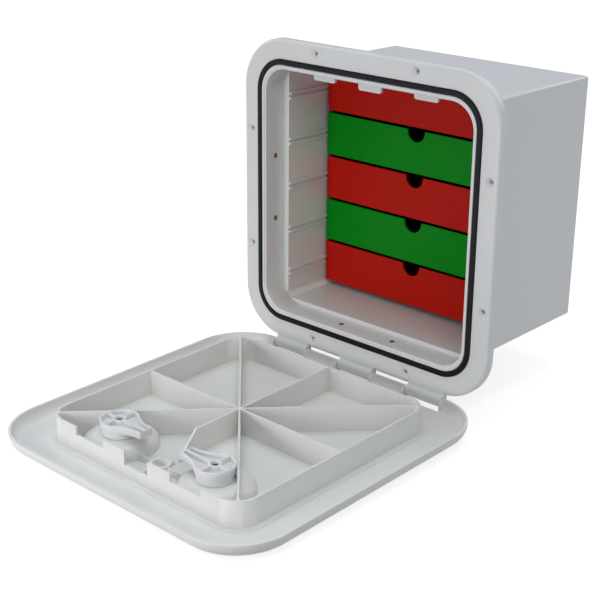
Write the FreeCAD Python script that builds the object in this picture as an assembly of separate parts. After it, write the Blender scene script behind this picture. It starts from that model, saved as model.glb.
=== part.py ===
import FreeCAD, Part
import math
import os

# Bulkhead storage hatch with five drawers, in millimetres.
# Origin: centre of the screw pattern, on the flange's back face, where it meets the bulkhead.
# +X runs to the right along the hinge, +Y goes into the bulkhead, +Z is up.
# The lid is built open at a right angle, inner side up, and then droops a little, as it lies at rest.

Vec = FreeCAD.Vector
EPS = 0.01          # margin for picking edges by place
CUT = 1.0           # how far a cutter runs past a face

# Flange
FLANGE_HALF = 187.5
FLANGE_CORNER = 60.0
FLANGE_THICK = 12.0
FLANGE_EDGE = 4.0
MOUNT_NEAR = 73.5           # screw hole, distance from the middle of a side
MOUNT_EDGE = 11.0           # screw hole, distance in from the flange's outer edge
MOUNT_HOLE_R = 2.2
SINK_R = 5.6                # countersink at the front face
POCKET_SKIN = 4.0           # flange left in front of the moulding pockets in its back
POCKET_RIM = 4.0
POCKET_CORE = 5.0           # solid round each screw hole beside the pocket
POCKET_RIB = 3.0
POCKET_INSET = 18.0         # from the throat's face to the pockets

# Throat behind the opening
THROAT_HALF = 152.0
THROAT_CORNER = 30.0
THROAT_WALL = 2.5
THROAT_PAST_WALL = 4.5      # how far the throat runs past the closed lid's inner wall
THROAT_LEAD = 1.4           # rounded front edge of the opening

# Seal in its groove, and the raised lip inside it
GROOVE_INSET = 5.5          # from the throat's face to the groove
GROOVE_WIDTH = 7.0
GROOVE_DEPTH = 4.0
GROOVE_CORNER_EXTRA = 3.0   # groove's corner radius over the throat's
SEAL_PLAY = 0.1
SEAL_PROUD = 2.0
SEAL_ROUND = 1.6
LIP_GAP = 0.4
LIP_INSET = 1.9             # from the throat's face to the lip
LIP_HEIGHT = 1.2
LIP_ROUND = 0.5

# Strike tabs at the top of the throat
TAB_WIDTH = 33.0
TAB_DROP = 10.0
TAB_THICK = 3.5
TAB_SINK = 1.0
TAB_ROUND = 3.0
TAB_MOUTH = 0.5             # free depth between a tab and the lid's notch floor
CATCH_PLAY = 0.5            # free depth between a tab and the latch arm behind it

# Storage box
COLLAR_PLAY = 0.3
COLLAR_WALL = 2.5
COLLAR_START = 1.0
BED_PLAY = 1.2              # round the collar, in the shallow bed in the flange's back
BED_DEPTH = 0.6
SHOULDER_THICK = 3.0
BOX_INSET_X = 5.2           # from the throat's face to the box's side
BOX_INSET_Z = 2.2           # from the throat's face to the box's top or floor
BOX_BACK = 225.5
BOX_WALL = 3.0
BOX_EDGE = 3.5
BOX_BACK_EDGE = 3.0
BOX_MOUTH_CORNER = 6.0

# Screws between throat and collar
JOIN_SPREAD = 40.0
JOIN_Y = 5.5
JOIN_SHANK_R = 1.45
JOIN_HEAD_R = 3.4
JOIN_HEAD_H = 0.9
JOIN_LENGTH = 7.0
JOIN_THROAT_HOLE_R = 1.6
JOIN_COLLAR_HOLE_R = 1.5
JOIN_SLOT_WIDTH = 0.8
JOIN_SLOT_DEPTH = 0.5

# Drawers and their runners
DRAWER_COUNT = 5
DRAWER_STACK_PLAY = 11.1    # height of the box's inside that the drawers leave free
DRAWER_GAP = 3.5            # between one drawer and the next
DRAWER_WALL = 2.2
DRAWER_FRONT_WALL = 3.0
DRAWER_FRONT_Y = 88.3
DRAWER_BACK_PLAY = 2.2
DRAWER_SIDE_PLAY = 0.6
DRAWER_EDGE = 1.0
RUNNER_PITCH = 6.4
RUNNER_THICK = 2.5
RUNNER_RISE = 2.8
RUNNER_START = 0.7
TONGUE_PLAY_SIDE = 0.6
TONGUE_PLAY_BELOW = 0.3
TONGUE_PLAY_ABOVE = 0.5
TONGUE_SETBACK = 2.0
GRIP_R = 13.0
GRIP_DEPTH = 14.5

# Hinge
HINGE_SETBACK = 2.5         # hinge axis behind the flange's front face
HINGE_DROP = 12.5           # hinge axis below the flange's lower edge
LID_DROOP = 0.86            # degrees past a right angle, at rest
PIN_R = 1.5
PIN_LUG_PLAY = 0.03
PIN_KNUCKLE_PLAY = 0.1
PIN_END = 1.0
LUG_WIDTH = 51.0
LUG_SPACING = 105.5
LUG_PLAY = 0.6
LUG_BARREL_R = 4.4
LUG_FRONT = 8.8             # lug's front face, ahead of the hinge axis
LUG_BROW_DROP = 2.2         # top of that face, below the flange's lower edge
LUG_BROW_ROUND = 5.5
LUG_FRONT_FOOT = 1.2        # foot of that face, above the hinge axis
LUG_BACK = 4.5
LUG_ROUND = 1.5
LUG_END_ROUND = 0.8
KNUCKLE_R = 4.0
KNUCKLE_WEB = 5.5
CHEEK_THICK = 3.0
CHEEK_REACH = 9.5
SWING_PLAY = 0.4            # between the cheeks and the flange's lower edge as the lid swings
SLOT_REACH = 10.3           # how far each slot runs in from the lid's edge
HEM_SETBACK = 3.0           # strip under the flange between the lugs, behind its front face
HEM_THICK = 4.0
HEM_DROP = 1.1              # below the flange's lower edge
HEM_PLAY = 0.5              # beside the lid's cheeks

# Lid
LID_OVERLAP = 10.5          # how far the lid reaches past the flange all round
LID_CORNER_EXTRA = 6.0      # lid's corner radius over the flange's
LID_SKIN = 3.0
LID_SEAL_GAP = 0.5          # between the seal and the lid's floor when closed
LID_RIM_END_GAP = 0.5       # between the closed rim and the bulkhead
LID_EDGE = 15.0
WALL_PLAY = 2.5             # between the closed lid's inner wall and the throat
WALL_CORNER_LESS = 3.0      # throat's corner radius over the wall's
WALL_THICK = 2.5
WALL_HEIGHT = 30.0
STEP_WIDTH = 7.2
STEP_HEIGHT = 0.7
RIB_THICK = 2.4
CORNER_BOSS_R = 2.6
CORNER_BOSS_RISE = 0.5
RIB_SLOPE_RUN = 29.0        # length of the sloping end of the rib to the lock socket
RIB_SLOPE_GAP = 2.5         # from that rib's foot to the socket's gusset
NOTCH_WIDTH = 45.0
NOTCH_DEPTH = 9.5
MID_NOTCH_WIDTH = 36.0
MID_NOTCH_DEPTH = 16.5
NOTCH_CHAMFER = 0.8

# Latches
LATCH_X = 74.5
ARM_END_PLAY = 1.5          # between a latched arm's tip and the throat
BOWL_R = 42.0
BOWL_WALL = 2.5
BOWL_FOOT = 3.5             # height of the bowl's upright foot and radius of the hollow round it
CROWN_R = 24.0
CROWN_H = 16.5
BORE_BOSS_R = 12.0
BORE_BOSS_DROP = 6.5
SPINDLE_R = 7.0
SPINDLE_PLAY = 0.1
WASHER_R = 20.5
WASHER_THICK = 2.0
WASHER_PLAY = 0.2
WASHER_BORE_PLAY = 0.3
CAM_R = 21.6
CAM_SWEEP_PLAY = 0.4        # kept free round the cam above the bowl
CAM_NECK_STEP = 1.2         # neck's radius under the cam's
CAM_ARM_THICK = 8.0
CAM_WALL = 1.8
CAM_POCKET = 5.0
CAM_HUB_R = 7.5
CAM_WEB = 2.2
CAM_WEB_ANGLES = (90, 180, 270)
CAM_SPINE = 2.8             # web along the arm
ARM_ROOT_ANGLE = 55.0       # degrees off the arm's axis, where its sides leave the hub
ARM_BEND = 24.5             # from the cam's axis, where the sides bend in
ARM_BEND_HALF = 11.5
ARM_SHANK = 33.0            # from the cam's axis, where they straighten
ARM_SHANK_HALF = 9.2
ARM_TIP_HALF = 8.3
ARM_REACH = 43.0
DRIVE_SIDE = 9.4
DRIVE_PLAY = 0.1
DRIVE_DOWN = 7.4            # from the cam's top to the drive's end
DRIVE_HEADROOM = 0.2
CAM_SCREW_R = 2.0
CAM_SCREW_PLAY = 0.1
CAM_SCREW_HOLE_PLAY = 0.03
CAM_SCREW_HEAD_R = 3.6
CAM_SCREW_HEAD_H = 2.4
CAM_SCREW_POCKET_R = 4.9
CAM_SCREW_DOWN = 4.6        # from the cam's top to the screw's seat
CAM_SCREW_LENGTH = 12.0
CAM_SCREW_DRIVE = 2.5       # half length of each bar of its cross
CAM_SCREW_DRIVE_HALF = 0.5
CAM_SCREW_DRIVE_DEPTH = 1.4
RING_SECTION = 1.6
RING_WIDTH = 2.0
RING_PLAY = 0.05
RING_H = 12.2               # height of the O-ring's groove above the lid's floor
GRIP_DISC_R = 20.5
GRIP_DISC_THICK = 3.2
GRIP_DISC_GAP = 0.4
GRIP_BAR_HALF = 6.0
GRIP_BAR_INNER_R = 18.0
GRIP_BAR_PLAY = 7.0         # between the grip bar's ends and the bowl
GRIP_BAR_RECESS = 0.6
GRIP_BAR_ROUND = 1.5

# Lock socket between the latches
SOCKET_OFFSET = 9.0         # past the latches, towards the lid's free side
SOCKET_R = 12.0
SOCKET_BORE_R = 8.2
SOCKET_H = 9.5
GUSSET_THICK = 2.0
GUSSET_DROP = 1.0           # below the socket's top, where a gusset meets it
GUSSET_FALL = 1.2           # how much the two side gussets fall on their way to the bowls
GUSSET_INNER = 20.0         # reach of the gusset towards the lid's centre

# Places that follow from the values above
FRONT_Y = -FLANGE_THICK
FLOOR_Y = FRONT_Y - SEAL_PROUD - LID_SEAL_GAP      # lid's floor when closed
POCKET_DEPTH = FLANGE_THICK - POCKET_SKIN
POCKET_INNER = THROAT_HALF + POCKET_INSET
GROOVE_INNER = THROAT_HALF + GROOVE_INSET
GROOVE_CORNER = THROAT_CORNER + GROOVE_CORNER_EXTRA
LIP_INNER = THROAT_HALF + LIP_INSET
HINGE_Y = FRONT_Y + HINGE_SETBACK
HINGE_Z = -FLANGE_HALF - HINGE_DROP
CHEEK_SWEEP_R = HINGE_DROP - SWING_PLAY
LUG_CENTRES = (-LUG_SPACING, 0.0, LUG_SPACING)
LID_HALF = FLANGE_HALF + LID_OVERLAP
LID_CORNER = FLANGE_CORNER + LID_CORNER_EXTRA
LID_Y = HINGE_Y + HINGE_Z                          # lid's centre when open
FLOOR_Z = HINGE_Z + FLOOR_Y - HINGE_Y              # lid's floor when open
RIM_H = -LID_RIM_END_GAP - FLOOR_Y                 # rim's height above the lid's floor
WALL_HALF = THROAT_HALF - WALL_PLAY
WALL_CORNER = THROAT_CORNER - WALL_CORNER_LESS
THROAT_DEPTH = FLOOR_Y + WALL_HEIGHT + THROAT_PAST_WALL
SHOULDER_Y = THROAT_DEPTH + COLLAR_PLAY
COLLAR_INNER = THROAT_HALF + THROAT_WALL + COLLAR_PLAY
COLLAR_OUTER = COLLAR_INNER + COLLAR_WALL
COLLAR_CORNER = THROAT_CORNER + THROAT_WALL + COLLAR_PLAY
BOX_HALF_X = THROAT_HALF - BOX_INSET_X
BOX_HALF_Z = THROAT_HALF - BOX_INSET_Z
BOX_INNER_X = BOX_HALF_X - BOX_WALL
BOX_INNER_Z = BOX_HALF_Z - BOX_WALL
DRAWER_PITCH = (2 * BOX_INNER_Z - DRAWER_STACK_PLAY) / DRAWER_COUNT
DRAWER_HEIGHT = DRAWER_PITCH - DRAWER_GAP
RUNNER_GAP = RUNNER_PITCH - RUNNER_THICK
LATCH_DOWN = THROAT_HALF - ARM_REACH - ARM_END_PLAY      # from the lid's centre towards its free side
ARM_BASE = WALL_HEIGHT - NOTCH_DEPTH + TAB_MOUTH + TAB_THICK + CATCH_PLAY
CAM_TOP = ARM_BASE + CAM_ARM_THICK                 # above the lid's floor
DRIVE_TOP = CAM_TOP - DRIVE_DOWN
CAM_SCREW_SEAT = CAM_TOP - CAM_SCREW_DOWN
GRIP_BAR_OUTER_R = BOWL_R - BOWL_WALL - GRIP_BAR_PLAY
SOCKET_DOWN = LATCH_DOWN + SOCKET_OFFSET
RIB_SLOPE_FOOT = SOCKET_DOWN - GUSSET_INNER - RIB_SLOPE_GAP
RIB_SLOPE_TOP = RIB_SLOPE_FOOT - RIB_SLOPE_RUN     # where that rib starts to fall, from the lid's centre


def outline(half_a, half_b, radius):
    """Closed wire round a rectangle with rounded corners, in the XY plane."""
    radius = min(radius, half_a - EPS, half_b - EPS)
    edges = []
    corners = ((1, 1), (-1, 1), (-1, -1), (1, -1))
    for quarter, (sign_a, sign_b) in enumerate(corners):
        centre = Vec(sign_a * (half_a - radius), sign_b * (half_b - radius), 0)
        start = quarter * 90.0
        arc = Part.Circle(centre, Vec(0, 0, 1), radius)
        edges.append(Part.Arc(arc, math.radians(start), math.radians(start + 90.0)).toShape())
    joined = []
    for quarter, arc in enumerate(edges):
        following = edges[(quarter + 1) % len(edges)]
        joined.append(arc)
        joined.append(Part.makeLine(arc.Vertexes[-1].Point, following.Vertexes[0].Point))
    return Part.Wire(joined)


def slab(half_a, half_b, radius, low, high):
    """Rounded rectangle standing on z = low and ending at z = high."""
    face = Part.Face(outline(half_a, half_b, radius))
    face.translate(Vec(0, 0, low))
    return face.extrude(Vec(0, 0, high - low))


def slab_y(half_x, half_z, radius, front, back):
    """The same rounded rectangle, running along Y from front to back."""
    shape = slab(half_x, half_z, radius, -back, -front)
    shape.rotate(Vec(0, 0, 0), Vec(1, 0, 0), 90)
    return shape


def block(low, high):
    """Box between two corners."""
    size = Vec(*high) - Vec(*low)
    return Part.makeBox(size.x, size.y, size.z, Vec(*low))


def rod(radius, start, end):
    """Cylinder from one point to another."""
    start = Vec(*start)
    axis = Vec(*end) - start
    return Part.makeCylinder(radius, axis.Length, start, axis)


def prism(points, along):
    """Solid whose outline is the points, pushed along a vector."""
    wire = Part.makePolygon([Vec(*p) for p in points] + [Vec(*points[0])])
    return Part.Face(wire).extrude(Vec(*along))


def turned(profile, centre_x, centre_y):
    """Solid of revolution about a vertical axis, from (radius, z) points."""
    points = [Vec(r, 0, z) for r, z in profile]
    face = Part.Face(Part.makePolygon(points + [points[0]]))
    shape = face.revolve(Vec(0, 0, 0), Vec(0, 0, 1), 360)
    shape.translate(Vec(centre_x, centre_y, 0))
    return shape


def edges_where(shape, test):
    """Edges whose every end point and middle pass the test."""
    found = []
    for edge in shape.Edges:
        middle = edge.valueAt((edge.FirstParameter + edge.LastParameter) / 2)
        points = [v.Point for v in edge.Vertexes] + [middle]
        if all(test(p) for p in points):
            found.append(edge)
    return found


def rounded(shape, radius, test):
    """The shape with the edges that pass the test rounded off."""
    return shape.makeFillet(radius, edges_where(shape, test))


def fused(first, others):
    """One clean solid made of several that overlap."""
    result = first.multiFuse(list(others)).removeSplitter()
    return result.Solids[0] if len(result.Solids) == 1 else result


def cut(shape, tools):
    """The shape with all the tools taken away."""
    result = shape.cut(list(tools)).removeSplitter()
    return result.Solids[0] if len(result.Solids) == 1 else result


def drooped(shape):
    """A part of the lid, swung from the level to its rest angle."""
    turned_shape = shape.copy()
    turned_shape.rotate(Vec(0, HINGE_Y, HINGE_Z), Vec(1, 0, 0), LID_DROOP)
    return turned_shape


def save(name, shape):
    """Write one sub-part to its own file."""
    if not shape.isValid():
        raise ValueError(name + " isn't a valid solid")
    shape.exportStep(os.path.join("parts", name + ".step"))
    print(name, "solids", len(shape.Solids), "volume", round(shape.Volume))


def hinge_rod(radius, low_x, high_x):
    """Cylinder on the hinge axis."""
    return rod(radius, (low_x, HINGE_Y, HINGE_Z), (high_x, HINGE_Y, HINGE_Z))


def mount_points():
    """The flange's eight screw holes, as (x, z)."""
    far = FLANGE_HALF - MOUNT_EDGE
    level = [(sx * MOUNT_NEAR, sz * far) for sx in (-1, 1) for sz in (-1, 1)]
    upright = [(sx * far, sz * MOUNT_NEAR) for sx in (-1, 1) for sz in (-1, 1)]
    return level + upright


def join_frames():
    """Each throat screw's place on the throat's inner face, with its outward direction."""
    frames = []
    for side in (-1, 1):
        for spread in (-JOIN_SPREAD, JOIN_SPREAD):
            frames.append((Vec(side * THROAT_HALF, JOIN_Y, spread), Vec(side, 0, 0)))
            frames.append((Vec(spread, JOIN_Y, side * THROAT_HALF), Vec(0, 0, side)))
    return frames


def back_pockets():
    """Cutters for the moulding pockets in the flange's back, between its screw holes."""
    outer = FLANGE_HALF - POCKET_RIM
    half_hole = MOUNT_NEAR - MOUNT_HOLE_R - POCKET_CORE
    beyond = MOUNT_NEAR + MOUNT_HOLE_R + POCKET_CORE
    end = FLANGE_HALF - FLANGE_CORNER
    third = (2 * half_hole - 2 * POCKET_RIB) / 3
    spans = [(-end, -beyond), (beyond, end)]
    for number in range(3):
        low = -half_hole + number * (third + POCKET_RIB)
        spans.append((low, low + third))
    tools = []
    for low, high in spans:
        for side in (-1, 1):
            inner_edge, outer_edge = sorted((side * POCKET_INNER, side * outer))
            tools.append(block((low, -POCKET_DEPTH, inner_edge), (high, CUT, outer_edge)))
            tools.append(block((inner_edge, -POCKET_DEPTH, low), (outer_edge, CUT, high)))
    return tools


def hinge_lug(centre_x):
    """One of the frame's three lugs, from the flange's front face down to the hinge axis."""
    half = LUG_WIDTH / 2
    low_x = centre_x - half
    front = HINGE_Y - LUG_FRONT
    back = HINGE_Y + LUG_BACK
    brow = -FLANGE_HALF - LUG_BROW_DROP
    foot = HINGE_Z - LUG_BARREL_R
    root = -FLANGE_HALF + FLANGE_EDGE
    points = [
        (low_x, back, root),
        (low_x, back, foot),
        (low_x, HINGE_Y - LUG_ROUND, foot),
        (low_x, front, HINGE_Z + LUG_FRONT_FOOT),
        (low_x, front, brow),
        (low_x, FRONT_Y, -FLANGE_HALF),
        (low_x, FRONT_Y, root),
    ]
    lug = prism(points, (LUG_WIDTH, 0, 0))
    lug = rounded(lug, LUG_BROW_ROUND, lambda p: p.y < front + EPS and p.z > brow - EPS)
    lug = rounded(lug, LUG_ROUND, lambda p: p.y < front + EPS and p.z < HINGE_Z + LUG_FRONT_FOOT + EPS)

    def end_edge(p):
        return abs(p.x - centre_x) > half - EPS and p.y < FRONT_Y + EPS and p.z < -FLANGE_HALF + EPS

    lug = rounded(lug, LUG_END_ROUND, end_edge)
    return rounded(lug, LUG_BARREL_R - EPS, lambda p: p.y > back - EPS and p.z < foot + EPS)


def flange_hem(left, right):
    """Strip under the flange between two lugs, clear of the lid's cheeks beside them."""
    gap = LUG_WIDTH / 2 + LUG_PLAY + CHEEK_THICK + HEM_PLAY
    front = FRONT_Y + HEM_SETBACK
    low = (left + gap, front, -FLANGE_HALF - HEM_DROP)
    return block(low, (right - gap, front + HEM_THICK, -FLANGE_HALF + FLANGE_EDGE))


def strike_tab(centre_x, front):
    """Tab that hangs from the top of the throat."""
    low = THROAT_HALF - TAB_DROP
    half = TAB_WIDTH / 2
    tab = block((centre_x - half, front, low), (centre_x + half, front + TAB_THICK, THROAT_HALF + TAB_SINK))

    def lower_corner(p):
        return p.z < low + EPS and abs(abs(p.x - centre_x) - half) < EPS

    return rounded(tab, TAB_ROUND, lower_corner)


def hatch_frame():
    """Flange, throat, groove, lip, lugs and strike tabs, in one moulding."""
    plate = slab_y(FLANGE_HALF, FLANGE_HALF, FLANGE_CORNER, FRONT_Y, 0)
    plate = rounded(plate, FLANGE_EDGE, lambda p: p.y < FRONT_Y + EPS)
    outer = THROAT_HALF + THROAT_WALL
    throat = slab_y(outer, outer, THROAT_CORNER + THROAT_WALL, -CUT, THROAT_DEPTH)
    lip_outer = GROOVE_INNER - LIP_GAP
    lip_corner = GROOVE_CORNER - LIP_GAP
    lip = slab_y(lip_outer, lip_outer, lip_corner, FRONT_Y - LIP_HEIGHT, FRONT_Y + CUT)
    lip = rounded(lip, LIP_ROUND, lambda p: p.y < FRONT_Y - LIP_HEIGHT + EPS)
    body = fused(plate, [throat, lip])
    inset = LIP_INNER - THROAT_HALF
    lip_hole = slab_y(LIP_INNER, LIP_INNER, THROAT_CORNER + inset, FRONT_Y - LIP_HEIGHT - CUT, FRONT_Y)
    bore = slab_y(THROAT_HALF, THROAT_HALF, THROAT_CORNER, FRONT_Y - CUT, THROAT_DEPTH + CUT)
    body = cut(body, [lip_hole, bore])
    body = rounded(body, THROAT_LEAD, lambda p: abs(p.y - FRONT_Y) < EPS and on_throat(p))
    groove_outer = GROOVE_INNER + GROOVE_WIDTH
    corner = GROOVE_CORNER + GROOVE_WIDTH
    floor = FRONT_Y + GROOVE_DEPTH
    groove = slab_y(groove_outer, groove_outer, corner, FRONT_Y - CUT, floor)
    island = slab_y(GROOVE_INNER, GROOVE_INNER, GROOVE_CORNER, FRONT_Y - 2 * CUT, floor + CUT)
    bed_half = COLLAR_OUTER + BED_PLAY
    bed = slab_y(bed_half, bed_half, COLLAR_CORNER + COLLAR_WALL + BED_PLAY, -BED_DEPTH, CUT)
    body = cut(body, [groove.cut(island), bed.cut(throat)])
    latch_front = latch_tab_front()
    tabs = [strike_tab(side * LATCH_X, latch_front) for side in (-1, 1)]
    tabs.append(strike_tab(0.0, FLOOR_Y + WALL_HEIGHT - MID_NOTCH_DEPTH + TAB_MOUTH))
    hems = [flange_hem(left, right) for left, right in zip(LUG_CENTRES, LUG_CENTRES[1:])]
    body = fused(body, tabs + hems + [hinge_lug(x) for x in LUG_CENTRES])
    tools = back_pockets()
    for x, z in mount_points():
        tools.append(rod(MOUNT_HOLE_R, (x, FRONT_Y - CUT, z), (x, CUT, z)))
        sink = Part.makeCone(SINK_R + CUT, 0, SINK_R + CUT, Vec(x, FRONT_Y - CUT, z), Vec(0, 1, 0))
        tools.append(sink)
    for place, outward in join_frames():
        length = THROAT_WALL + 2 * CUT
        tools.append(Part.makeCylinder(JOIN_THROAT_HOLE_R, length, place - outward * CUT, outward))
    reach = LUG_SPACING + LUG_WIDTH
    tools.append(hinge_rod(PIN_R + PIN_LUG_PLAY, -reach, reach))
    return cut(body, tools)


def on_throat(p):
    """True for a point on the throat's inner outline."""
    flat = THROAT_HALF - THROAT_CORNER
    reach = math.hypot(max(abs(p.x) - flat, 0), max(abs(p.z) - flat, 0))
    return abs(reach - THROAT_CORNER) < EPS


def latch_tab_front():
    """Front face of the two outer strike tabs, just behind the closed lid's notch floor."""
    return FLOOR_Y + WALL_HEIGHT - NOTCH_DEPTH + TAB_MOUTH


def lid_seal():
    """Ring seal in the groove, standing proud of the flange."""
    half = GROOVE_INNER + SEAL_PLAY
    width = GROOVE_WIDTH - 2 * SEAL_PLAY
    front = FRONT_Y - SEAL_PROUD
    corner = GROOVE_CORNER + SEAL_PLAY
    ring = slab_y(half + width, half + width, corner + width, front, FRONT_Y + GROOVE_DEPTH)
    hole = slab_y(half, half, corner, front - CUT, FRONT_Y + GROOVE_DEPTH + CUT)
    ring = ring.cut(hole)
    return rounded(ring, SEAL_ROUND, lambda p: p.y < front + EPS)


def runner(side, z):
    """One runner rib on a side wall of the box."""
    inner = side * (BOX_INNER_X - RUNNER_RISE)
    wall = side * (BOX_INNER_X + BOX_WALL / 2)
    low_x, high_x = sorted((inner, wall))
    half = RUNNER_THICK / 2
    back = BOX_BACK - BOX_WALL / 2
    return block((low_x, SHOULDER_Y + RUNNER_START, z - half), (high_x, back, z + half))


def drawer_levels():
    """Middle height of each drawer, from top to bottom."""
    top = (DRAWER_COUNT - 1) / 2 * DRAWER_PITCH
    return [top - number * DRAWER_PITCH for number in range(DRAWER_COUNT)]


def storage_box():
    """Deep box with its shoulder and the collar that slips over the throat."""
    body = slab_y(BOX_HALF_X, BOX_HALF_Z, BOX_EDGE, SHOULDER_Y, BOX_BACK)
    body = rounded(body, BOX_BACK_EDGE, lambda p: p.y > BOX_BACK - EPS)
    shoulder_back = SHOULDER_Y + SHOULDER_THICK
    corner = COLLAR_CORNER + COLLAR_WALL
    collar = slab_y(COLLAR_OUTER, COLLAR_OUTER, corner, COLLAR_START, shoulder_back)
    body = fused(body, [collar])
    socket = slab_y(COLLAR_INNER, COLLAR_INNER, COLLAR_CORNER, COLLAR_START - CUT, SHOULDER_Y)
    back = BOX_BACK - BOX_WALL
    hollow = slab_y(BOX_INNER_X, BOX_INNER_Z, BOX_MOUTH_CORNER, SHOULDER_Y - CUT, back)
    body = cut(body, [socket, hollow])
    ribs = []
    for level in drawer_levels():
        for side in (-1, 1):
            for step in (-RUNNER_PITCH / 2, RUNNER_PITCH / 2):
                ribs.append(runner(side, level + step))
    body = fused(body, ribs)
    holes = []
    for place, outward in join_frames():
        length = THROAT_WALL + COLLAR_WALL + 2 * CUT
        holes.append(Part.makeCylinder(JOIN_COLLAR_HOLE_R, length, place, outward))
    return cut(body, holes)


def join_screw(place, outward):
    """Small screw with a domed, slotted head inside the throat."""
    shank = Part.makeCylinder(JOIN_SHANK_R, JOIN_LENGTH, place - outward * EPS, outward)
    ball_r = (JOIN_HEAD_R ** 2 + JOIN_HEAD_H ** 2) / (2 * JOIN_HEAD_H)
    ball = Part.makeSphere(ball_r, place + outward * (ball_r - JOIN_HEAD_H))
    disc = Part.makeCylinder(JOIN_HEAD_R, JOIN_HEAD_H, place - outward * JOIN_HEAD_H, outward)
    screw = fused(disc.common(ball), [shank])
    half = Vec(JOIN_SLOT_WIDTH / 2, JOIN_SLOT_WIDTH / 2, JOIN_SLOT_WIDTH / 2)
    across = Vec(0, 1, 0).cross(outward)
    reach = Vec(abs(across.x), abs(across.y), abs(across.z)) * JOIN_HEAD_R + half
    top = place - outward * JOIN_HEAD_H
    depth = Vec(abs(outward.x), abs(outward.y), abs(outward.z)) * JOIN_SLOT_DEPTH
    low = top - reach - depth
    high = top + reach + depth
    along = [high.x - low.x, high.y - low.y, high.z - low.z]
    slot = Part.makeBox(along[0], along[1], along[2], low)
    keep = Part.makeCylinder(JOIN_HEAD_R + CUT, 2 * JOIN_SLOT_DEPTH, top - outward * JOIN_SLOT_DEPTH, outward)
    return cut(screw, [slot.common(keep)])


def box_screws():
    """The eight screws that hold the box's collar to the throat."""
    return Part.makeCompound([join_screw(place, outward) for place, outward in join_frames()])


def hinge_pin(side):
    """Steel pin from the outer ear to the middle of the centre lug."""
    outer = LUG_SPACING + LUG_WIDTH / 2 + LUG_PLAY + CHEEK_THICK - PIN_END
    low_x, high_x = sorted((side * PIN_END, side * outer))
    return hinge_rod(PIN_R, low_x, high_x)


def lid_slab(half, radius, low, high):
    """Rounded square on the lid, with heights above the lid's floor."""
    shape = slab(half, half, radius, low, high)
    shape.translate(Vec(0, LID_Y, FLOOR_Z))
    return shape


def lid_block(low, high):
    """Box on the lid, measured from the lid's centre and floor."""
    shape = block(low, high)
    shape.translate(Vec(0, LID_Y, FLOOR_Z))
    return shape


def lid_skin():
    """Dished skin with its rim."""
    outer = lid_slab(LID_HALF, LID_CORNER, -LID_SKIN, RIM_H)
    bottom = FLOOR_Z - LID_SKIN
    outer = rounded(outer, LID_EDGE, lambda p: p.z < bottom + EPS)
    inner = lid_slab(LID_HALF - LID_SKIN, LID_CORNER - LID_SKIN, 0, RIM_H + CUT)
    inner = rounded(inner, LID_EDGE - LID_SKIN, lambda p: p.z < FLOOR_Z + EPS)
    return outer.cut(inner)


def lid_walls():
    """Inner wall, radiating ribs, corner bosses and the low step at the wall's foot."""
    sink = -LID_SKIN / 2
    wall = lid_slab(WALL_HALF, WALL_CORNER, sink, WALL_HEIGHT)
    hollow = lid_slab(WALL_HALF - WALL_THICK, WALL_CORNER - WALL_THICK, sink - CUT, WALL_HEIGHT + CUT)
    pieces = [wall.cut(hollow)]
    field = lid_slab(WALL_HALF - WALL_THICK / 2, WALL_CORNER - WALL_THICK / 2, sink, WALL_HEIGHT)
    half = RIB_THICK / 2
    reach = 2 * WALL_HALF
    level = lid_block((-reach, -half, sink), (reach, half, WALL_HEIGHT))
    pieces.append(level.common(field))
    for angle in (45, 135):
        rib = lid_block((-reach, -half, sink), (reach, half, WALL_HEIGHT))
        rib.rotate(Vec(0, LID_Y, 0), Vec(0, 0, 1), angle)
        pieces.append(rib.common(field))
    pieces.append(lid_block((-half, 0, sink), (half, WALL_HALF - WALL_THICK / 2, WALL_HEIGHT)))
    falling = [
        (-half, CUT, sink),
        (-half, CUT, WALL_HEIGHT),
        (-half, -RIB_SLOPE_TOP, WALL_HEIGHT),
        (-half, -RIB_SLOPE_FOOT, sink),
    ]
    slope = prism(falling, (RIB_THICK, 0, 0))
    slope.translate(Vec(0, LID_Y, FLOOR_Z))
    pieces.append(slope)
    boss_place = WALL_HALF - WALL_THICK - WALL_CORNER * (1 - math.sqrt(0.5))
    for side_x in (-1, 1):
        for side_y in (-1, 1):
            x = side_x * boss_place
            y = LID_Y + side_y * boss_place
            top = FLOOR_Z + WALL_HEIGHT + CORNER_BOSS_RISE
            pieces.append(rod(CORNER_BOSS_R, (x, y, FLOOR_Z + sink), (x, y, top)))
    step = lid_slab(WALL_HALF + STEP_WIDTH, WALL_CORNER + STEP_WIDTH, sink, STEP_HEIGHT)
    inside = lid_slab(WALL_HALF - WALL_THICK, WALL_CORNER - WALL_THICK, sink - CUT, STEP_HEIGHT + CUT)
    pieces.append(step.cut(inside))
    return pieces


def wall_notch(centre_x, width, depth):
    """Cutter for a notch in the top of the free side's wall, with bevelled upper corners."""
    half = width / 2
    low = WALL_HEIGHT - depth
    front = -WALL_HALF - CUT
    points = [
        (centre_x - half, front, low),
        (centre_x + half, front, low),
        (centre_x + half, front, WALL_HEIGHT - NOTCH_CHAMFER),
        (centre_x + half + NOTCH_CHAMFER, front, WALL_HEIGHT + EPS),
        (centre_x + half + NOTCH_CHAMFER, front, WALL_HEIGHT + CUT),
        (centre_x - half - NOTCH_CHAMFER, front, WALL_HEIGHT + CUT),
        (centre_x - half - NOTCH_CHAMFER, front, WALL_HEIGHT + EPS),
        (centre_x - half, front, WALL_HEIGHT - NOTCH_CHAMFER),
    ]
    shape = prism(points, (0, WALL_THICK + 2 * CUT, 0))
    shape.translate(Vec(0, LID_Y, FLOOR_Z))
    return shape


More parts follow.
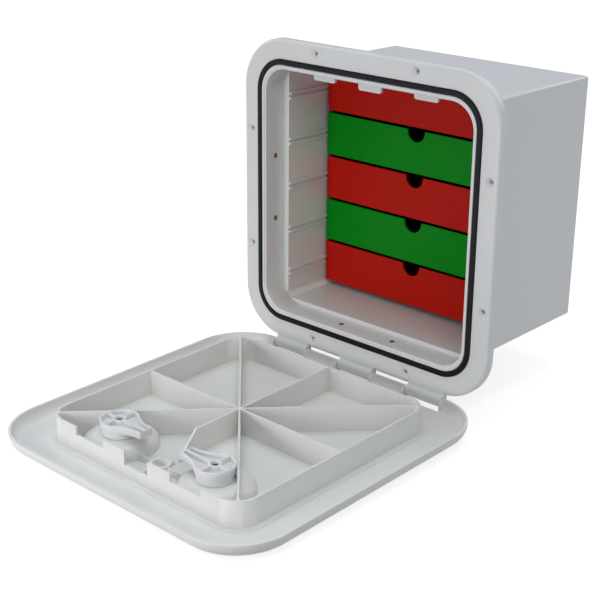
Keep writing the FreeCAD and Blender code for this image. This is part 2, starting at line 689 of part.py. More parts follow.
def latch_bowl(centre_x, inset, low):
    """Domed solid over a latch place, from the given height up to the bowl's surface less inset."""
    foot_r = BOWL_R - inset
    crown_r = CROWN_R - inset
    foot = Vec(foot_r, 0, BOWL_FOOT - inset)
    crown = Vec(crown_r, 0, CROWN_H - inset)
    quarter = Part.BezierCurve()
    quarter.setPoles([foot, Vec(foot_r, 0, CROWN_H - inset), crown])
    quarter.setWeight(2, math.sqrt(0.5))
    bend = quarter.toShape()
    corners = [crown, Vec(0, 0, CROWN_H - inset), Vec(0, 0, low), Vec(foot_r, 0, low), foot]
    sides = [Part.makeLine(start, end) for start, end in zip(corners, corners[1:])]
    shape = Part.Face(Part.Wire([bend] + sides)).revolve(Vec(0, 0, 0), Vec(0, 0, 1), 360)
    shape.translate(Vec(centre_x, LID_Y - LATCH_DOWN, FLOOR_Z))
    return shape


def bowl_skirt(centre_x):
    """Hollow round the bowl's foot, where it runs out on the lid's floor."""
    sink = -LID_SKIN / 2
    inner_r = BOWL_R - BOWL_WALL / 2
    outer_r = BOWL_R + BOWL_FOOT
    middle = Vec(outer_r, 0, BOWL_FOOT)
    hollow = Part.Arc(Part.Circle(middle, Vec(0, -1, 0), BOWL_FOOT), math.pi, 1.5 * math.pi).toShape()
    ends = [v.Point for v in hollow.Vertexes]
    floor_end = min(ends, key=lambda p: p.z)
    wall_end = max(ends, key=lambda p: p.z)
    corners = [
        wall_end,
        Vec(inner_r, 0, BOWL_FOOT),
        Vec(inner_r, 0, sink),
        Vec(outer_r, 0, sink),
        floor_end,
    ]
    sides = [Part.makeLine(start, end) for start, end in zip(corners, corners[1:])]
    shape = Part.Face(Part.Wire([hollow] + sides)).revolve(Vec(0, 0, 0), Vec(0, 0, 1), 360)
    shape.translate(Vec(centre_x, LID_Y - LATCH_DOWN, FLOOR_Z))
    return shape


def hinge_parts():
    """Knuckles between the frame's lugs, with their webs, and the cheeks at each slot's ends."""
    axis_y = HINGE_Y - LID_Y
    axis_h = HINGE_Z - FLOOR_Z
    ends = LUG_WIDTH / 2 + LUG_PLAY
    pieces = []
    spans = []
    for left, right in zip(LUG_CENTRES, LUG_CENTRES[1:]):
        spans.append((left + ends, right - ends))
    outer = LUG_CENTRES[-1] + ends
    spans.append((outer, outer + CHEEK_THICK))
    spans.append((-outer - CHEEK_THICK, -outer))
    for low_x, high_x in spans:
        pieces.append(hinge_rod(KNUCKLE_R, low_x, high_x))
        low = (low_x, axis_y - KNUCKLE_WEB, axis_h - KNUCKLE_R)
        pieces.append(lid_block(low, (high_x, axis_y, axis_h + KNUCKLE_R)))
    for centre in LUG_CENTRES:
        for side in (-1, 1):
            low_x, high_x = sorted((centre + side * ends, centre + side * (ends + CHEEK_THICK)))
            front = LID_HALF - CHEEK_REACH
            cheek = lid_block((low_x, front, -LID_SKIN / 2), (high_x, LID_HALF, RIM_H))
            pieces.append(cheek.common(hinge_rod(CHEEK_SWEEP_R, low_x, high_x)))
    return pieces


def lid_envelope():
    """The skin's outer shape, carried up past the rim, that trims what stands near the rim."""
    shape = lid_slab(LID_HALF, LID_CORNER, -LID_SKIN, WALL_HEIGHT + LID_SKIN)
    bottom = FLOOR_Z - LID_SKIN
    return rounded(shape, LID_EDGE, lambda p: p.z < bottom + EPS)


def lock_socket():
    """Short round socket between the latches, with webs to both bowls, to the wall and a sloping gusset."""
    y = LID_Y - SOCKET_DOWN
    sink = -LID_SKIN / 2
    post = rod(SOCKET_R, (0, y, FLOOR_Z + sink), (0, y, FLOOR_Z + SOCKET_H))
    top = SOCKET_H - GUSSET_DROP
    half = GUSSET_THICK / 2
    inside_bowl = LATCH_X - CROWN_R
    to_bowls = [
        (0, -half, sink),
        (0, -half, top),
        (SOCKET_R, -half, top),
        (inside_bowl, -half, top - GUSSET_FALL),
        (inside_bowl, -half, sink),
    ]
    inward = [
        (-half, 0, sink),
        (-half, 0, top),
        (-half, SOCKET_R, top),
        (-half, GUSSET_INNER, 0),
        (-half, GUSSET_INNER, sink),
    ]
    right = prism(to_bowls, (0, GUSSET_THICK, 0))
    left = prism([(-px, py, pz) for px, py, pz in to_bowls], (0, GUSSET_THICK, 0))
    webs = [left, right, prism(inward, (GUSSET_THICK, 0, 0))]
    for web in webs:
        web.translate(Vec(0, y, FLOOR_Z))
    to_wall = lid_block((-half, WALL_THICK / 2 - WALL_HALF, sink), (half, -SOCKET_DOWN, top))
    return [post, to_wall] + webs


def lid():
    """The whole lid moulding, open at a right angle."""
    ends = LUG_WIDTH / 2 + LUG_PLAY
    envelope = lid_envelope()
    body = lid_skin()
    walls = lid_walls()
    bowls = [latch_bowl(side * LATCH_X, 0, -LID_SKIN) for side in (-1, 1)]
    bowls = [bowl.common(envelope) for bowl in bowls]
    wall_middle = WALL_HALF - WALL_THICK / 2
    field = lid_slab(wall_middle, WALL_CORNER - WALL_THICK / 2, -LID_SKIN, WALL_HEIGHT)
    skirts = [bowl_skirt(side * LATCH_X).common(field) for side in (-1, 1)]
    body = fused(body, walls + bowls + skirts + lock_socket() + hinge_parts())
    tools = []
    for side in (-1, 1):
        x = side * LATCH_X
        y = LID_Y - LATCH_DOWN
        recess = latch_bowl(x, BOWL_WALL, -LID_SKIN - CUT)
        boss_low = FLOOR_Z + CROWN_H - BORE_BOSS_DROP
        boss = rod(BORE_BOSS_R, (x, y, boss_low), (x, y, FLOOR_Z + CROWN_H))
        tools.append(recess.cut(boss))
        tools.append(rod(SPINDLE_R + SPINDLE_PLAY, (x, y, boss_low - CUT), (x, y, FLOOR_Z + CROWN_H + CUT)))
        tools.append(wall_notch(x, NOTCH_WIDTH, NOTCH_DEPTH))
        above = FLOOR_Z + CROWN_H
        sweep = rod(CAM_R + CAM_SWEEP_PLAY, (x, y, above), (x, y, above + WALL_HEIGHT))
        tools.append(sweep)
    tools.append(wall_notch(0.0, MID_NOTCH_WIDTH, MID_NOTCH_DEPTH))
    y = LID_Y - SOCKET_DOWN
    tools.append(rod(SOCKET_BORE_R, (0, y, FLOOR_Z), (0, y, FLOOR_Z + SOCKET_H + CUT)))
    for centre in LUG_CENTRES:
        low = (centre - ends, LID_HALF - SLOT_REACH, -LID_SKIN - CUT)
        high = (centre + ends, LID_HALF + KNUCKLE_R + LUG_FRONT, RIM_H + CUT)
        tools.append(lid_block(low, high))
    reach = LUG_SPACING + LUG_WIDTH
    tools.append(hinge_rod(PIN_R + PIN_KNUCKLE_PLAY, -reach, reach))
    return cut(body, tools)


def latch_centre(side):
    """Axis of a latch, as x and y."""
    return side * LATCH_X, LID_Y - LATCH_DOWN


def latch_handle(side):
    """Outside turn handle: disc and grip bar in the bowl, and the spindle through the crown."""
    x, y = latch_centre(side)
    boss_low = CROWN_H - BORE_BOSS_DROP
    disc_top = boss_low - GRIP_DISC_GAP
    disc_low = disc_top - GRIP_DISC_THICK
    bar_low = -LID_SKIN + GRIP_BAR_RECESS
    disc = rod(GRIP_DISC_R, (x, y, FLOOR_Z + disc_low), (x, y, FLOOR_Z + disc_top))
    limit = turned(
        [
            (0, FLOOR_Z + bar_low),
            (GRIP_BAR_OUTER_R, FLOOR_Z + bar_low),
            (GRIP_BAR_INNER_R, FLOOR_Z + disc_low + EPS),
            (0, FLOOR_Z + disc_low + EPS),
        ],
        x,
        y,
    )
    reach = GRIP_BAR_OUTER_R + CUT
    bar = lid_block(
        (x - reach, -LATCH_DOWN - GRIP_BAR_HALF, bar_low),
        (x + reach, -LATCH_DOWN + GRIP_BAR_HALF, disc_low + EPS),
    ).common(limit)
    low_z = FLOOR_Z + bar_low
    bar = rounded(bar, GRIP_BAR_ROUND, lambda p: p.z < low_z + EPS)
    drive_base = CROWN_H + WASHER_PLAY + WASHER_THICK
    spindle = rod(SPINDLE_R, (x, y, FLOOR_Z + disc_low), (x, y, FLOOR_Z + drive_base))
    half = DRIVE_SIDE / 2
    drive = lid_block(
        (x - half, -LATCH_DOWN - half, drive_base - EPS),
        (x + half, -LATCH_DOWN + half, DRIVE_TOP),
    )
    body = fused(disc, [bar, spindle, drive])
    hole_foot = FLOOR_Z + CAM_SCREW_SEAT - CAM_SCREW_LENGTH - CUT
    hole = rod(CAM_SCREW_R + CAM_SCREW_HOLE_PLAY, (x, y, hole_foot), (x, y, FLOOR_Z + DRIVE_TOP + CUT))
    groove_low = FLOOR_Z + RING_H
    groove_high = groove_low + RING_WIDTH
    groove = rod(SPINDLE_R + CUT, (x, y, groove_low), (x, y, groove_high))
    groove = groove.cut(rod(SPINDLE_R - RING_SECTION, (x, y, groove_low - CUT), (x, y, groove_high + CUT)))
    return cut(body, [hole, groove])


def latch_seal(side):
    """O-ring in the spindle's groove."""
    x, y = latch_centre(side)
    tube = RING_SECTION / 2 - RING_PLAY
    middle = FLOOR_Z + RING_H + RING_WIDTH / 2
    return Part.makeTorus(SPINDLE_R - RING_SECTION / 2, tube, Vec(x, y, middle), Vec(0, 0, 1))


def latch_washer(side):
    """Thrust washer between the bowl's crown and the cam."""
    x, y = latch_centre(side)
    low = FLOOR_Z + CROWN_H + WASHER_PLAY
    ring = rod(WASHER_R, (x, y, low), (x, y, low + WASHER_THICK))
    return ring.cut(rod(SPINDLE_R + WASHER_BORE_PLAY, (x, y, low - CUT), (x, y, low + WASHER_THICK + CUT)))


def arm_outline(shrink, reach):
    """Closed outline of a cam's arm, pointing along +X, drawn in by shrink."""
    hub_r = CAM_R - shrink
    angle = math.radians(ARM_ROOT_ANGLE)
    stations = [
        (hub_r * math.cos(angle), hub_r * math.sin(angle)),
        (ARM_BEND, ARM_BEND_HALF - shrink),
        (ARM_SHANK, ARM_SHANK_HALF - shrink),
        (reach, ARM_TIP_HALF - shrink),
    ]
    upper = Part.BSplineCurve()
    upper.interpolate([Vec(along, half, 0) for along, half in stations])
    lower = Part.BSplineCurve()
    lower.interpolate([Vec(along, -half, 0) for along, half in reversed(stations)])
    end = Part.makeLine(upper.EndPoint, lower.StartPoint)
    back = Part.makeLine(lower.EndPoint, upper.StartPoint)
    return Part.Wire([upper.toShape(), end, lower.toShape(), back])


def latch_cam(side):
    """Cam with a pocketed hub and arm, built pointing along +X and turned towards the lid's middle."""
    base = CROWN_H + WASHER_PLAY + WASHER_THICK
    neck = rod(CAM_R - CAM_NECK_STEP, (0, 0, base), (0, 0, ARM_BASE + EPS))
    hub = rod(CAM_R, (0, 0, ARM_BASE), (0, 0, CAM_TOP))
    arm = Part.Face(arm_outline(0, ARM_REACH)).extrude(Vec(0, 0, CAM_ARM_THICK))
    arm.translate(Vec(0, 0, ARM_BASE))
    body = fused(neck, [hub, arm])
    floor = CAM_TOP - CAM_POCKET
    well = rod(CAM_R - CAM_WALL, (0, 0, floor), (0, 0, CAM_TOP + CUT))
    channel = Part.Face(arm_outline(CAM_WALL, ARM_REACH - CAM_WALL)).extrude(Vec(0, 0, CAM_POCKET + CUT))
    channel.translate(Vec(0, 0, floor))
    pocket = fused(well, [channel])
    above = CAM_TOP + 2 * CUT
    hub_core = rod(CAM_HUB_R, (0, 0, floor - CUT), (0, 0, above))
    spine = block((0, -CAM_SPINE / 2, floor - CUT), (ARM_REACH, CAM_SPINE / 2, above))
    webs = [hub_core, spine]
    for angle in CAM_WEB_ANGLES:
        web = block((0, -CAM_WEB / 2, floor - CUT), (CAM_R, CAM_WEB / 2, above))
        web.rotate(Vec(0, 0, 0), Vec(0, 0, 1), angle)
        webs.append(web)
    half = DRIVE_SIDE / 2 + DRIVE_PLAY
    socket = block((-half, -half, base - CUT), (half, half, DRIVE_TOP + DRIVE_HEADROOM))
    screw_hole = rod(CAM_SCREW_R + CAM_SCREW_PLAY, (0, 0, base), (0, 0, CAM_TOP + CUT))
    head_pocket = rod(CAM_SCREW_POCKET_R, (0, 0, CAM_SCREW_SEAT), (0, 0, CAM_TOP + CUT))
    body = cut(body, [pocket.cut(webs), socket, screw_hole, head_pocket])
    x, y = latch_centre(side)
    if side > 0:
        body.rotate(Vec(0, 0, 0), Vec(0, 0, 1), 180)
    body.translate(Vec(x, y, FLOOR_Z))
    return body


def latch_screw(side):
    """Screw that holds the cam on its spindle."""
    x, y = latch_centre(side)
    seat = FLOOR_Z + CAM_SCREW_SEAT
    shank = rod(CAM_SCREW_R, (x, y, seat - CAM_SCREW_LENGTH), (x, y, seat + EPS))
    top = seat + CAM_SCREW_HEAD_H
    head = rod(CAM_SCREW_HEAD_R, (x, y, seat), (x, y, top))
    head = rounded(head, CAM_SCREW_HEAD_R - CAM_SCREW_DRIVE, lambda p: p.z > top - EPS)
    body = fused(head, [shank])
    drive = []
    for angle in (0, 90):
        bar = block(
            (-CAM_SCREW_DRIVE, -CAM_SCREW_DRIVE_HALF, 0),
            (CAM_SCREW_DRIVE, CAM_SCREW_DRIVE_HALF, CAM_SCREW_DRIVE_DEPTH + CUT),
        )
        bar.rotate(Vec(0, 0, 0), Vec(0, 0, 1), angle)
        bar.translate(Vec(x, y, top - CAM_SCREW_DRIVE_DEPTH))
        drive.append(bar)
    return cut(body, drive)


def drawer(level):
    """Open tray with a finger notch in its front and a tongue on each side."""
    half_x = BOX_INNER_X - RUNNER_RISE - DRAWER_SIDE_PLAY
    back = BOX_BACK - BOX_WALL - DRAWER_BACK_PLAY
    low = level - DRAWER_HEIGHT / 2
    high = level + DRAWER_HEIGHT / 2
    body = block((-half_x, DRAWER_FRONT_Y, low), (half_x, back, high))

    def outer_edge(p):
        return abs(p.x) > half_x - EPS and (p.z < low + EPS or p.y < DRAWER_FRONT_Y + EPS)

    body = rounded(body, DRAWER_EDGE, outer_edge)
    hollow_front = DRAWER_FRONT_Y + DRAWER_FRONT_WALL
    hollow = block(
        (-half_x + DRAWER_WALL, hollow_front, low + DRAWER_WALL),
        (half_x - DRAWER_WALL, back - DRAWER_WALL, high + CUT),
    )
    grip_z = high - GRIP_DEPTH + GRIP_R
    grip = rod(GRIP_R, (0, DRAWER_FRONT_Y - CUT, grip_z), (0, hollow_front + CUT, grip_z))
    throat = block((-GRIP_R, DRAWER_FRONT_Y - CUT, grip_z), (GRIP_R, hollow_front + CUT, high + CUT))
    body = cut(body, [hollow, grip, throat])
    tongues = []
    for side in (-1, 1):
        inner = side * (half_x - DRAWER_WALL / 2)
        outer = side * (BOX_INNER_X - TONGUE_PLAY_SIDE)
        low_x, high_x = sorted((inner, outer))
        foot = level - RUNNER_GAP / 2 + TONGUE_PLAY_BELOW
        top = level + RUNNER_GAP / 2 - TONGUE_PLAY_ABOVE
        start = DRAWER_FRONT_Y + TONGUE_SETBACK
        tongues.append(block((low_x, start, foot), (high_x, back - TONGUE_SETBACK, top)))
    return fused(body, tongues)


def main():
    os.makedirs("parts", exist_ok=True)
    save("hatch_frame", hatch_frame())
    save("lid_seal", lid_seal())
    save("storage_box", storage_box())
    save("box_screws", box_screws())
    save("lid", drooped(lid()))
    for name, side in (("left", -1), ("right", 1)):
        save("hinge_pin_" + name, hinge_pin(side))
        save("latch_handle_" + name, drooped(latch_handle(side)))
        save("latch_seal_" + name, drooped(latch_seal(side)))
        save("latch_washer_" + name, drooped(latch_washer(side)))
        save("latch_cam_" + name, drooped(latch_cam(side)))
        save("latch_screw_" + name, drooped(latch_screw(side)))
    for number, level in enumerate(drawer_levels(), start=1):
        save("drawer_" + str(number), drawer(level))


main()
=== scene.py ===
import math

import bpy
from bpy.props import FloatProperty, FloatVectorProperty, PointerProperty
from bpy.types import Operator, Panel, PropertyGroup
from mathutils import Matrix, Vector


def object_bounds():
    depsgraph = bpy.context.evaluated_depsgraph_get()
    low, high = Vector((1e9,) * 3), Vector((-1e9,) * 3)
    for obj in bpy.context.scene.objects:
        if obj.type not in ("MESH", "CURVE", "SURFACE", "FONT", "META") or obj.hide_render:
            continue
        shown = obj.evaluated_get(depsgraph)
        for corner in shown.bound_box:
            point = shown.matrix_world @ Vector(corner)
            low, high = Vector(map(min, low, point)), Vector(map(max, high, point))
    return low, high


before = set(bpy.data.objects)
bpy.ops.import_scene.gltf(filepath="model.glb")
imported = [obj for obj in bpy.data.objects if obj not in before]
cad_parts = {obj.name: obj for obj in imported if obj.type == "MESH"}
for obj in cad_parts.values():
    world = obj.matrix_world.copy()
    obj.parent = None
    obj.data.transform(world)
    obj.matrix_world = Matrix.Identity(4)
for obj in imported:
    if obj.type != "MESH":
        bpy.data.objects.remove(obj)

bl_info = {
    "name": "Bulkhead Hatch Finishes",
    "version": (1, 0, 0),
    "blender": (4, 5, 0),
    "location": "3D View > Sidebar > Hatch",
    "description": "Finishes a storage hatch with drawers, and sets up its studio",
    "category": "Object",
}

DRAWER_COUNT = 5
SIDES = ("left", "right")
LOWEST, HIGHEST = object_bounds()

# Moulded plastic: drift of colour and of roughness, specular level, and bump with its depth in metres.
WHITE_DRIFT = 0.03
DRAWER_DRIFT = 0.06
PLASTIC_ROUGHNESS_DRIFT = 0.12
PLASTIC_SHINE = 0.5
PLASTIC_BUMP = 0.25
PLASTIC_BUMP_DEPTH = 0.00005

# Rubber of the seals, in the same terms, and the size of its grain in metres.
RUBBER_DRIFT = 0.25
RUBBER_ROUGHNESS_DRIFT = 0.2
RUBBER_SHINE = 0.2
RUBBER_BUMP = 0.5
RUBBER_BUMP_DEPTH = 0.00008
RUBBER_GRAIN = 0.0004

# Steel: scale of its streaks, and how far they shift its roughness either way.
STEEL_STREAKS = 4000.0
STEEL_ROUGHNESS_DRIFT = 0.1

# Scales of the moulded skin's noises, and how many times its waves are as high as its grain.
CLOUD_SCALE = 9.0
MOTTLE_SCALE = 70.0
FLOW_SCALE = 26.0
WAVE_SCALE = 55.0
WAVE_HEIGHT = 3.0

# Rounded edges: points nearer than the gap are welded, flatter faces than the flat angle are joined,
# and edges sharper than the sharp angle are rounded in so many steps.
WELD_GAP = 1e-6
FLAT_ANGLE = math.radians(0.5)
SHARP_ANGLE = math.radians(35)
EDGE_STEPS = 2

# Ejector pins' rings on the lid's floor, by their centres, with radius and line in metres.
# The depth is in the skin's own height.
PIN_MARKS = (
    (0.0585, -0.2240, 0.0),
    (-0.0585, -0.1350, 0.0),
    (0.1010, -0.1700, 0.0),
    (-0.1010, -0.1700, 0.0),
    (0.0450, -0.1050, 0.0),
    (-0.1050, -0.2500, 0.0),
)
PIN_MARK_RADIUS = 0.004
PIN_MARK_LINE = 0.0009
PIN_MARK_DEPTH = 22.0

# Floor: how far under the object it lies, in metres, its grey and its roughness.
FLOOR_DROP = 0.0005
FLOOR_GREY = 0.32
FLOOR_ROUGHNESS = 0.9

# Each far softbox: name, turn from straight in front towards the right and height, both in degrees,
# then level and tint.
FAR_LAMPS = (
    ("left_low", -90, 8, 1.15, (1.0, 0.93, 0.80)),
    ("left_back_high", -120, 65, 0.40, (1.0, 1.0, 1.0)),
    ("back", 170, 35, 0.50, (1.0, 1.0, 1.0)),
    ("overhead", 0, 90, 0.88, (0.92, 1.0, 1.0)),
    ("right_front_high", 45, 38, 0.57, (1.0, 1.0, 0.84)),
    ("right_low", 90, 8, 0.40, (0.94, 0.96, 1.0)),
)
NEAR_LAMP_TARGET = Vector((0.0, -0.15, -0.05))

# Camera: width of its sensor in millimetres, and the nearest and farthest that it sees, in metres.
SENSOR_WIDTH = 36.0
NEAREST_SEEN = 0.05
FARTHEST_SEEN = 50.0


def to_linear(red, green, blue):
    """A colour as a screen shows it, 0 to 255, turned into a linear one."""
    out = []
    for value in (red, green, blue):
        share = value / 255
        out.append(share / 12.92 if share <= 0.04045 else ((share + 0.055) / 1.055) ** 2.4)
    return tuple(out)


class HatchPlasticSettings(PropertyGroup):
    """Colours and surface of the moulded plastic."""

    white: FloatVectorProperty(
        name="White",
        description="Colour of the frame and box",
        default=to_linear(221, 222, 221),
        subtype="COLOR",
        min=0.0,
        max=1.0,
    )
    lid_white: FloatVectorProperty(
        name="Lid white",
        description="Colour of the lid, a little creamier",
        default=to_linear(222, 222, 219),
        subtype="COLOR",
        min=0.0,
        max=1.0,
    )
    # A little cooler than the frame's white: a painted tint of the cool light from above on the cam tops.
    latch_white: FloatVectorProperty(
        name="Latch white",
        description="Colour of the latches, a little cooler",
        default=to_linear(221, 221, 222),
        subtype="COLOR",
        min=0.0,
        max=1.0,
    )
    red: FloatVectorProperty(
        name="Red",
        description="Colour of the first, third and fifth drawer",
        default=to_linear(182, 24, 12),
        subtype="COLOR",
        min=0.0,
        max=1.0,
    )
    green: FloatVectorProperty(
        name="Green",
        description="Colour of the second and fourth drawer",
        default=to_linear(1, 131, 18),
        subtype="COLOR",
        min=0.0,
        max=1.0,
    )
    gloss: FloatProperty(
        name="Roughness",
        description="Roughness of a clean moulded face",
        default=0.33,
        min=0.05,
        max=1.0,
        subtype="FACTOR",
    )
    drawer_shine: FloatProperty(
        name="Drawer shine",
        description="Specular level of the drawers, which are duller than the white mouldings",
        default=0.08,
        min=0.0,
        max=1.0,
        subtype="FACTOR",
    )
    grain: FloatProperty(
        name="Grain",
        description="Size of the moulded skin's texture",
        default=0.0007,
        unit="LENGTH",
        min=0.0001,
        max=0.01,
    )
    edge: FloatProperty(
        name="Edge radius",
        description="Radius that softens each sharp edge",
        default=0.0005,
        unit="LENGTH",
        min=0.0,
        max=0.002,
    )


class HatchRubberSettings(PropertyGroup):
    """Colour and surface of the seals."""

    black: FloatVectorProperty(
        name="Black",
        description="Colour of the seals",
        default=to_linear(11, 10, 18),
        subtype="COLOR",
        min=0.0,
        max=1.0,
    )
    roughness: FloatProperty(
        name="Roughness",
        description="Roughness of the rubber",
        default=0.55,
        min=0.05,
        max=1.0,
        subtype="FACTOR",
    )


class HatchSteelSettings(PropertyGroup):
    """Colour and surface of pins and screws."""

    # Darker and browner than bare steel: painted shade of the screw recesses and painted reflection of
    # the warm interior.
    steel: FloatVectorProperty(
        name="Steel",
        description="Colour of pins and screws",
        default=to_linear(150, 141, 134),
        subtype="COLOR",
        min=0.0,
        max=1.0,
    )
    roughness: FloatProperty(
        name="Roughness",
        description="Roughness of the steel",
        default=0.24,
        min=0.05,
        max=1.0,
        subtype="FACTOR",
    )


class HatchStageSettings(PropertyGroup):
    """Camera, lamps and floor."""

    camera_place: FloatVectorProperty(
        name="Camera place",
        description="Where the camera stands",
        default=(0.9106, -1.09894, 0.43619),
        subtype="TRANSLATION",
        unit="LENGTH",
    )
    azimuth: FloatProperty(
        name="Azimuth",
        description="Turn of the view from straight ahead",
        default=math.radians(42.168),
        subtype="ANGLE",
    )
    elevation: FloatProperty(
        name="Elevation",
        description="How far the view looks down",
        default=math.radians(20.916),
        subtype="ANGLE",
    )
    roll: FloatProperty(
        name="Roll",
        description="Turn of the picture about the view",
        default=math.radians(0.625),
        subtype="ANGLE",
    )
    lens: FloatProperty(
        name="Lens",
        description="Focal length on a 36 mm sensor, in millimetres",
        default=76.69,
        min=10.0,
        max=300.0,
    )
    shift: FloatVectorProperty(
        name="Shift",
        description="Shift of the picture, as a share of its width",
        default=(-0.01936, -0.00055),
        size=2,
    )
    floor_size: FloatProperty(
        name="Floor size",
        description="Side of the square floor",
        default=8.0,
        unit="LENGTH",
        min=1.0,
        max=50.0,
    )
    lamp_strength: FloatProperty(
        name="Lamps",
        description="Strength of all softboxes together",
        default=1.0,
        min=0.0,
        max=20.0,
    )
    lamp_angle: FloatProperty(
        name="Lamp softness",
        description="Angle that each softbox fills",
        default=math.radians(38.0),
        subtype="ANGLE",
    )
    near_place: FloatVectorProperty(
        name="Near lamp place",
        description="Where the near softbox stands",
        default=(-0.174, -1.185, 0.02),
        subtype="TRANSLATION",
        unit="LENGTH",
    )
    near_size: FloatProperty(
        name="Near lamp size",
        description="Diameter of the near softbox",
        default=0.5,
        unit="LENGTH",
        min=0.05,
        max=5.0,
    )
    near_power: FloatProperty(
        name="Near lamp power",
        description="Power of the near softbox, in watts",
        default=4.5,
        min=0.0,
        max=1000.0,
    )
    room: FloatVectorProperty(
        name="Room light",
        description="Level and tint of the even light all round",
        default=(0.19, 0.20, 0.27),
        min=0.0,
        max=5.0,
    )
    floor_lift: FloatProperty(
        name="Floor white",
        description="How much of the floor's white the camera sees apart from the lamps",
        default=0.8,
        min=0.0,
        max=1.0,
    )


def node_at(tree, kind, place, **values):
    """A new node at a place in the tree, with its plain values set."""
    node = tree.nodes.new(kind)
    node.location = place
    for name, value in values.items():
        setattr(node, name, value)
    return node


def new_group(name, inputs, outputs):
    """An empty shader group with named inputs and outputs."""
    group = bpy.data.node_groups.new(name, "ShaderNodeTree")
    for label, kind, value in inputs:
        socket = group.interface.new_socket(name=label, in_out="INPUT", socket_type=kind)
        socket.default_value = value
    for label, kind in outputs:
        group.interface.new_socket(name=label, in_out="OUTPUT", socket_type=kind)
    start = node_at(group, "NodeGroupInput", (-1000, 0))
    end = node_at(group, "NodeGroupOutput", (800, 0))
    return group, start, end


def noise_node(tree, place, vector, scale, detail, roughness=0.5):
    """Noise on given coordinates."""
    node = node_at(tree, "ShaderNodeTexNoise", place)
    node.inputs["Scale"].default_value = scale
    node.inputs["Detail"].default_value = detail
    node.inputs["Roughness"].default_value = roughness
    tree.links.new(vector, node.inputs["Vector"])
    return node


def range_node(tree, place, value, low, high):
    """Spreads 0 to 1 over low to high."""
    node = node_at(tree, "ShaderNodeMapRange", place)
    node.inputs["To Min"].default_value = low
    node.inputs["To Max"].default_value = high
    tree.links.new(value, node.inputs["Value"])
    return node


def math_node(tree, place, operation, first, second):
    """One sum on two values, each a socket or a number."""
    node = node_at(tree, "ShaderNodeMath", place, operation=operation)
    for index, value in enumerate((first, second)):
        if isinstance(value, (int, float)):
            node.inputs[index].default_value = value
        else:
            tree.links.new(value, node.inputs[index])
    return node


def moulded_skin_group():
    """Colour drift, sheen drift and fine grain of an injection-moulded face."""
    name = "moulded_skin"
    if name in bpy.data.node_groups:
        return bpy.data.node_groups[name]
    inputs = (
        ("Colour", "NodeSocketColor", (0.8, 0.8, 0.8, 1.0)),
        ("Colour Drift", "NodeSocketFloat", 0.03),
        ("Roughness", "NodeSocketFloat", 0.4),
        ("Roughness Drift", "NodeSocketFloat", 0.05),
        ("Grain Size", "NodeSocketFloat", 0.0007),
    )
    outputs = (
        ("Colour", "NodeSocketColor"),
        ("Roughness", "NodeSocketFloat"),
        ("Height", "NodeSocketFloat"),
    )
    group, start, end = new_group(name, inputs, outputs)
    links = group.links
    place = node_at(group, "ShaderNodeTexCoord", (-1000, -400)).outputs["Object"]

    cloud = noise_node(group, (-760, 300), place, CLOUD_SCALE, detail=3.0)
    mottle = noise_node(group, (-760, 60), place, MOTTLE_SCALE, detail=4.0, roughness=0.6)
    drift = math_node(group, (-560, 200), "ADD", cloud.outputs["Fac"], mottle.outputs["Fac"])
    centred = math_node(group, (-380, 200), "SUBTRACT", drift.outputs[0], 1.0)
    shade = math_node(group, (-200, 260), "MULTIPLY", centred.outputs[0], start.outputs["Colour Drift"])
    factor = math_node(group, (-20, 260), "ADD", shade.outputs[0], 1.0)
    tint = node_at(group, "ShaderNodeVectorMath", (180, 260), operation="SCALE")
    links.new(start.outputs["Colour"], tint.inputs[0])
    links.new(factor.outputs[0], tint.inputs["Scale"])
    links.new(tint.outputs[0], end.inputs["Colour"])

    flow = noise_node(group, (-760, -180), place, FLOW_SCALE, detail=5.0, roughness=0.65)
    sheen = math_node(group, (-560, -160), "SUBTRACT", flow.outputs["Fac"], 0.5)
    sheen = math_node(group, (-380, -160), "MULTIPLY", sheen.outputs[0], start.outputs["Roughness Drift"])
    sheen = math_node(group, (-200, -160), "ADD", sheen.outputs[0], start.outputs["Roughness"])
    links.new(sheen.outputs[0], end.inputs["Roughness"])

    scale = math_node(group, (-760, -420), "DIVIDE", 1.0, start.outputs["Grain Size"])
    grain = node_at(group, "ShaderNodeTexNoise", (-560, -420))
    grain.inputs["Detail"].default_value = 2.0
    links.new(place, grain.inputs["Vector"])
    links.new(scale.outputs[0], grain.inputs["Scale"])
    wave = noise_node(group, (-560, -640), place, WAVE_SCALE, detail=2.0)
    deep = math_node(group, (-380, -640), "MULTIPLY", wave.outputs["Fac"], WAVE_HEIGHT)
    height = math_node(group, (-200, -500), "ADD", grain.outputs["Fac"], deep.outputs[0])
    links.new(height.outputs[0], end.inputs["Height"])
    return group


def new_material(name):
    """A material with its tree, its shader and a clean start."""
    material = bpy.data.materials.new(name)
    material.use_nodes = True
    tree = material.node_tree
    return material, tree, tree.nodes["Principled BSDF"]


def skinned(name, colour, drift, roughness, roughness_drift, grain, shine, bump_strength, bump_depth):
    """A material whose colour, roughness and bump come from the moulded skin."""
    if name in bpy.data.materials:
        return bpy.data.materials[name]
    material, tree, shader = new_material(name)
    skin = node_at(tree, "ShaderNodeGroup", (-600, 100), node_tree=moulded_skin_group())
    skin.inputs["Colour"].default_value = (*colour, 1.0)
    skin.inputs["Colour Drift"].default_value = drift
    skin.inputs["Roughness"].default_value = roughness
    skin.inputs["Roughness Drift"].default_value = roughness_drift
    skin.inputs["Grain Size"].default_value = grain
    bump = node_at(tree, "ShaderNodeBump", (-300, -200))
    bump.inputs["Strength"].default_value = bump_strength
    bump.inputs["Distance"].default_value = bump_depth
    shader.inputs["Specular IOR Level"].default_value = shine
    tree.links.new(skin.outputs["Colour"], shader.inputs["Base Color"])
    tree.links.new(skin.outputs["Roughness"], shader.inputs["Roughness"])
    tree.links.new(skin.outputs["Height"], bump.inputs["Height"])
    tree.links.new(bump.outputs["Normal"], shader.inputs["Normal"])
    return material


